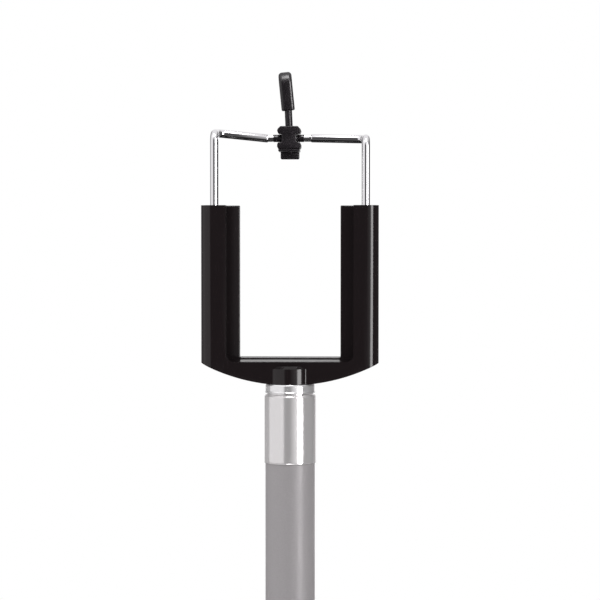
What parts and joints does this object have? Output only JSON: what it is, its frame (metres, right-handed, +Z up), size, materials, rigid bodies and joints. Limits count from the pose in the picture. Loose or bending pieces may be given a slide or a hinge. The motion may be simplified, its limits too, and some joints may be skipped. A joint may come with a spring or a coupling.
{
  "type": "telescopic selfie stick",
  "caption": "Telescopic hand stick with a foam grip and a spring-loaded clip that holds a phone between a ledge and a swivelling wire-borne jaw.",
  "frame": {"origin": "on the stick's axis, at the centre of the flat end of the handle", "axes": "+Z up the stick towards the clip, -Y out of the clip's back, +Y towards the phone, +X to the right when the clip is seen from behind"},
  "size_m": [0.059, 0.0275, 0.3174],
  "materials": {
    "gloss_black": "gloss",
    "matt_black": "satin",
    "rubber_black": "matte",
    "foam_black": "matte",
    "bush_plastic": "satin",
    "grey_paint": "satin",
    "aluminium": "polished",
    "steel_tube": "polished",
    "chrome_wire": "polished",
    "zinc_steel": "satin",
    "brass": "satin"
  },
  "bodies": {
    "handle": {"end_cap": "matt_black", "grip_foam": "foam_black", "grip_ring": "aluminium", "outer_tube": "grey_paint", "top_collar": "aluminium"},
    "section_2": {"tube_2": "steel_tube", "slide_bush_2": "bush_plastic"},
    "section_3": {"tube_3": "steel_tube", "slide_bush_3": "bush_plastic"},
    "section_4": {"tube_4": "steel_tube", "slide_bush_4": "bush_plastic"},
    "section_5": {"tube_5": "steel_tube", "slide_bush_5": "bush_plastic"},
    "section_6": {"tube_6": "steel_tube", "slide_bush_6": "bush_plastic", "head_neck": "aluminium", "tripod_stud": "zinc_steel"},
    "fork": {"rear_cover": "gloss_black", "front_frame": "gloss_black", "threaded_insert": "brass", "shell_screw_1": "zinc_steel", "shell_screw_2": "zinc_steel", "shell_screw_3": "zinc_steel", "shell_screw_4": "zinc_steel", "ledge_pad": "rubber_black", "arm_pad_left": "rubber_black", "arm_pad_right": "rubber_black", "guide_bush_left": "bush_plastic", "guide_bush_right": "bush_plastic", "spring_left": "zinc_steel", "spring_right": "zinc_steel"},
    "wire": {"wire_frame": "chrome_wire", "rod_collar_left": "zinc_steel", "rod_collar_right": "zinc_steel", "wire_sleeve_left": "rubber_black", "wire_sleeve_right": "rubber_black"},
    "jaw": {"jaw_block": "matt_black", "tab_sleeve": "rubber_black", "jaw_pad": "rubber_black"}
  },
  "joints": [
    {"name": "section_2_slide", "type": "slide", "parent": "handle", "child": "section_2", "axis": [0, 0, 1], "range_m": [0, 0.1725]},
    {"name": "section_3_slide", "type": "slide", "parent": "section_2", "child": "section_3", "axis": [0, 0, 1], "range_m": [0, 0.1701]},
    {"name": "section_4_slide", "type": "slide", "parent": "section_3", "child": "section_4", "axis": [0, 0, 1], "range_m": [0, 0.1669]},
    {"name": "section_5_slide", "type": "slide", "parent": "section_4", "child": "section_5", "axis": [0, 0, 1], "range_m": [0, 0.1637]},
    {"name": "section_6_slide", "type": "slide", "parent": "section_5", "child": "section_6", "axis": [0, 0, 1], "range_m": [0, 0.1605]},
    {"name": "holder_turn", "type": "hinge", "parent": "section_6", "child": "fork", "pos_m": [0, 0, 0.2125], "axis": [0, 0, 1], "continuous": true},
    {"name": "clip_slide", "type": "slide", "parent": "fork", "child": "wire", "axis": [0, 0, 1], "range_m": [-0.014, 0.015], "stiffness_N_per_m": 350, "springref_m": -0.03, "deforming": ["spring_left", "spring_right"]},
    {"name": "jaw_swivel", "type": "hinge", "parent": "wire", "child": "jaw", "pos_m": [0, 0.0083, 0.2946], "axis": [1, 0, 0], "range_deg": [-25, 110]}
  ]
}
